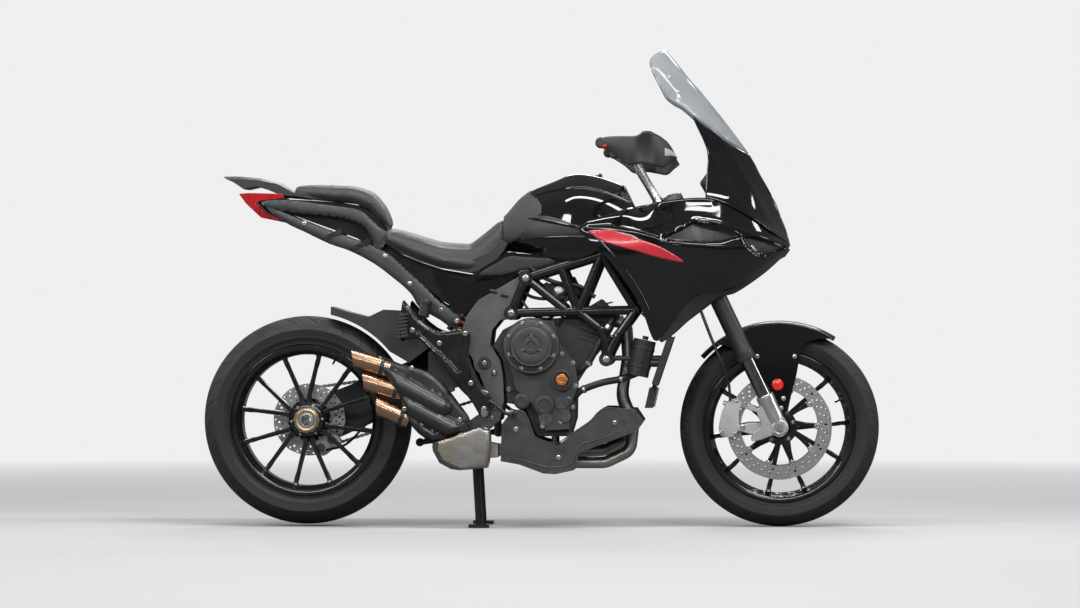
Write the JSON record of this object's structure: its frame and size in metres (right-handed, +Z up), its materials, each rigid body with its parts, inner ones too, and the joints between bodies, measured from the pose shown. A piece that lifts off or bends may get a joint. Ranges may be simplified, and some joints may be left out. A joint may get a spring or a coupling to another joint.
{
  "type": "sport touring motorcycle",
  "caption": "Sport touring motorcycle with a trellis frame, screen and side fairings, single-sided swingarm and triple exhaust, standing on its centre stand.",
  "frame": {"origin": "on the floor, under the middle of the motorcycle's overall length and width", "axes": "+X forward, +Y to the rider's left, +Z up"},
  "size_m": [2.0679, 0.9122, 1.4554],
  "materials": {
    "tyre": "matte",
    "wheel_black": "gloss",
    "disc_steel": "brushed",
    "satin_black": "satin",
    "chrome_tube": "polished",
    "cast_alloy": "cast",
    "dark_alloy": "satin",
    "silver_bar": "satin",
    "rubber": "matte",
    "satin_plastic": "satin",
    "gloss_black": "gloss",
    "grey_alloy": "satin",
    "raw_steel": "raw",
    "bronze": "satin",
    "graphite": "satin",
    "lamp_glass": "clear",
    "clear_screen": "clear",
    "seat_cover": "satin",
    "red_lens": "gloss"
  },
  "bodies": {
    "chassis": {"frame": "gloss_black", "side_plates": "grey_alloy", "engine": "dark_alloy", "engine_covers": "dark_alloy", "radiator": "satin_plastic", "belly_pan": "satin_plastic", "exhaust": "raw_steel", "exhaust_tips": "bronze", "silencer": "graphite", "swingarm": "dark_alloy", "drive_chain": "disc_steel", "hugger": "satin_plastic", "shock_absorber": "bronze", "rear_caliper": "cast_alloy", "fuel_tank": "gloss_black", "nose_fairing": "gloss_black", "side_fairings": "gloss_black", "headlamp": "lamp_glass", "windscreen": "clear_screen", "dashboard": "satin_plastic", "rider_seat": "seat_cover", "passenger_seat": "seat_cover", "subframe": "dark_alloy", "tail_rails": "dark_alloy", "grab_rail": "satin_plastic", "tail_light": "red_lens", "side_panels": "satin_plastic", "footrests": "grey_alloy"},
    "steering": {"fork_uppers": "satin_black", "fork_stanchions": "chrome_tube", "fork_lugs": "cast_alloy", "front_calipers": "cast_alloy", "triple_clamps": "dark_alloy", "handlebar": "silver_bar", "controls": "rubber", "handguards": "satin_plastic", "front_fender": "satin_plastic", "brake_hoses": "rubber"},
    "front_wheel": {"front_tyre": "tyre", "front_rim": "wheel_black", "front_discs": "disc_steel"},
    "rear_wheel": {"rear_tyre": "tyre", "rear_rim": "wheel_black", "rear_disc": "disc_steel", "rear_sprocket": "disc_steel"},
    "centre_stand": {"centre_stand": "satin_black"},
    "side_stand": {"side_stand": "satin_black"},
    "fuel_lid": {"fuel_cap": "dark_alloy"}
  },
  "joints": [
    {"name": "steering_turn", "type": "hinge", "parent": "chassis", "child": "steering", "pos_m": [0.70022, 0, 0.28979], "axis": [-0.4305, 0, 0.9026], "range_deg": [-32, 32]},
    {"name": "front_wheel_turn", "type": "hinge", "parent": "steering", "child": "front_wheel", "pos_m": [0.73, 0, 0.304], "axis": [0, 1, 0], "continuous": true},
    {"name": "rear_wheel_turn", "type": "hinge", "parent": "chassis", "child": "rear_wheel", "pos_m": [-0.715, 0, 0.324], "axis": [0, 1, 0], "continuous": true},
    {"name": "centre_stand_fold", "type": "hinge", "parent": "chassis", "child": "centre_stand", "pos_m": [-0.2, 0, 0.302], "axis": [0, 1, 0], "range_deg": [0, 78]},
    {"name": "side_stand_swing", "type": "hinge", "parent": "chassis", "child": "side_stand", "pos_m": [-0.14, 0.196, 0.285], "axis": [0.029, -0.9498, -0.3115], "range_deg": [0, 91]},
    {"name": "fuel_lid_turn", "type": "hinge", "parent": "chassis", "child": "fuel_lid", "pos_m": [0.182, 0, 1.074], "axis": [0, 1, 0], "range_deg": [0, 100]}
  ]
}
